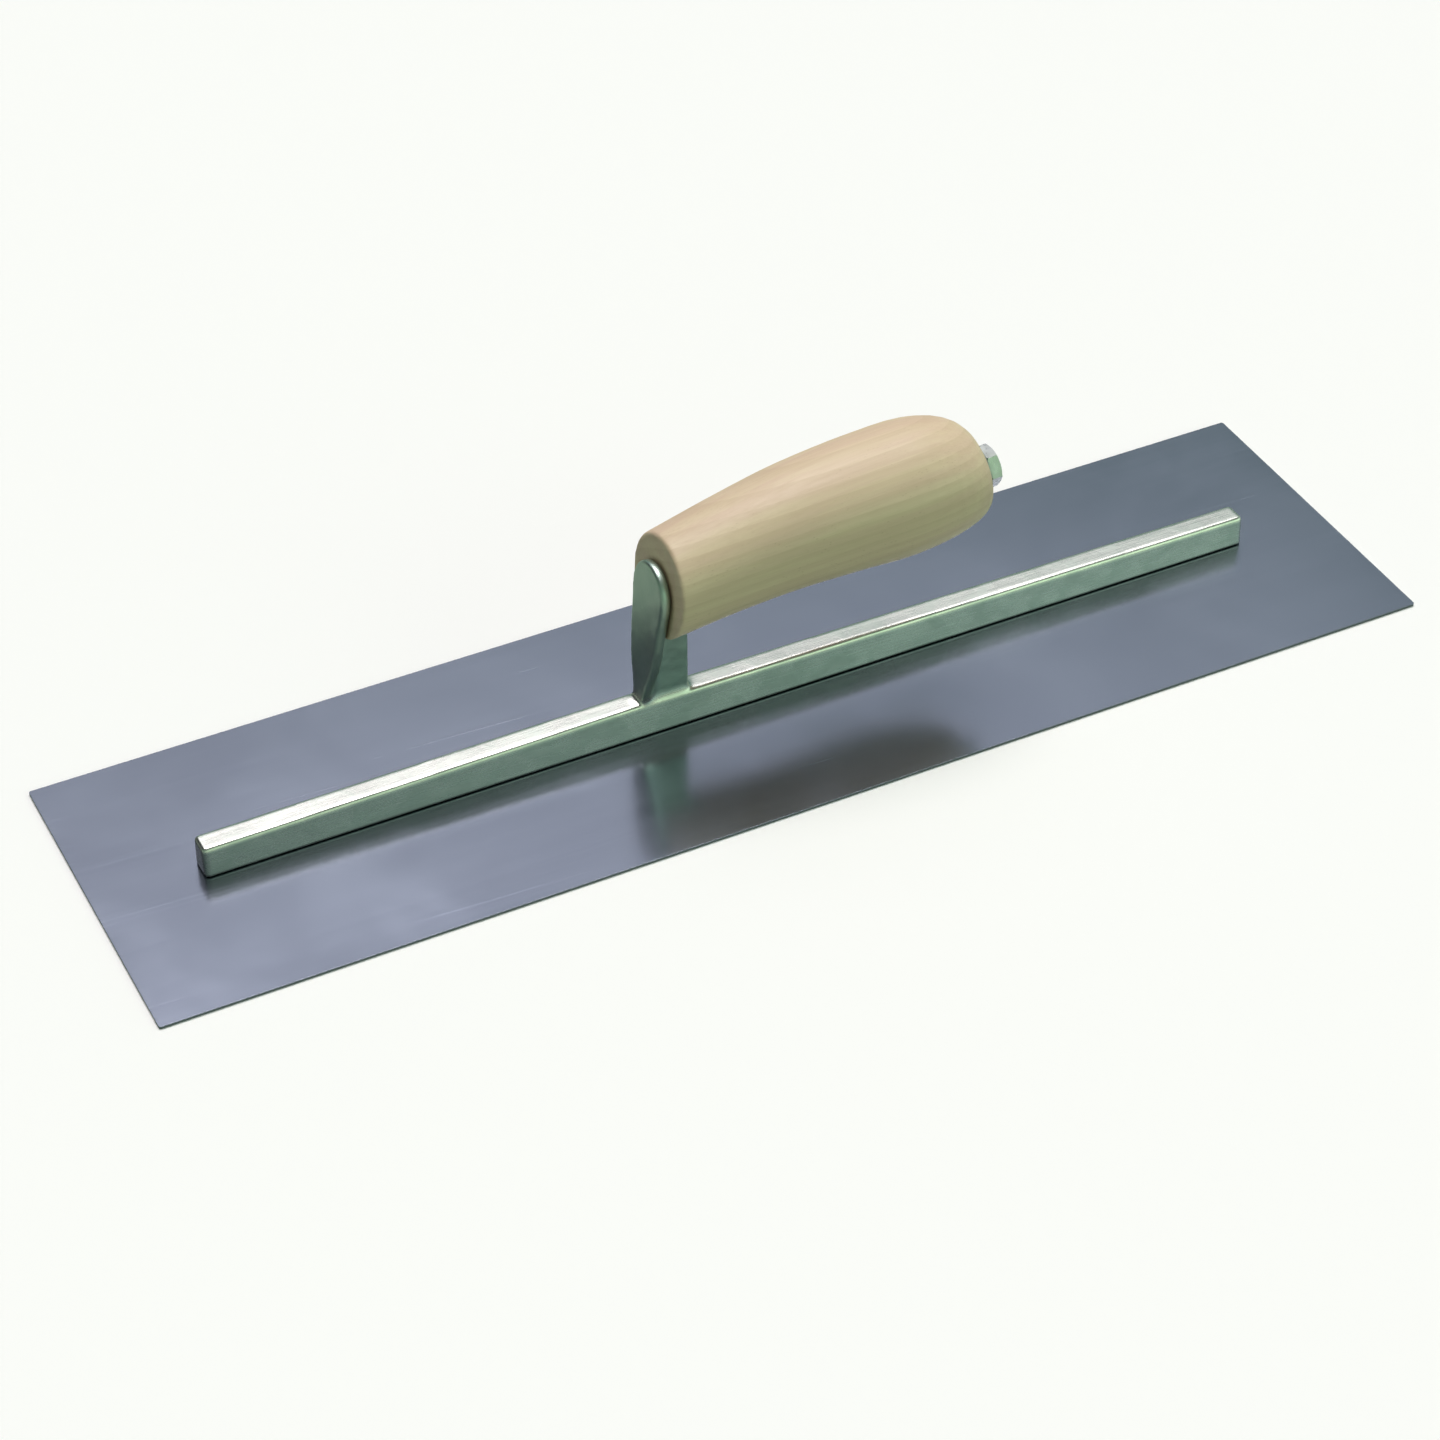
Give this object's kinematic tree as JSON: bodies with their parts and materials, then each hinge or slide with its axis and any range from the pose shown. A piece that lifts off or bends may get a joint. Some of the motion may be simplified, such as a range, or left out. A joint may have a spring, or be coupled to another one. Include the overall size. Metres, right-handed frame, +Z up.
{
  "type": "finishing trowel",
  "caption": "Steel finishing trowel: a flat rectangular blade riveted to a cast bar, whose shank carries a camelback wood handle.",
  "frame": {"origin": "on the blade's underside, at the middle of its length and width", "axes": "+X along the blade towards the handle's tail and nut, +Y across the blade, +Z up from the working face to the handle"},
  "size_m": [0.4572, 0.1206, 0.0899],
  "materials": {
    "blade_steel": "finely ground and polished, cool grey",
    "cast_alloy": "polished casting",
    "rivet_steel": "ground flush",
    "tang_steel": "plain rod",
    "zinc_plate": "zinc plated",
    "wood": "sanded hardwood with a thin clear coat"
  },
  "bodies": {
    "root": {"blade": "blade_steel", "mounting": "cast_alloy", "handle": "wood", "tang": "tang_steel", "washer": "zinc_plate", "nut": "zinc_plate", "rivet_01": "rivet_steel", "rivet_02": "rivet_steel", "rivet_03": "rivet_steel", "rivet_04": "rivet_steel", "rivet_05": "rivet_steel", "rivet_06": "rivet_steel", "rivet_07": "rivet_steel", "rivet_08": "rivet_steel", "rivet_09": "rivet_steel", "rivet_10": "rivet_steel"}
  },
  "joints": []
}
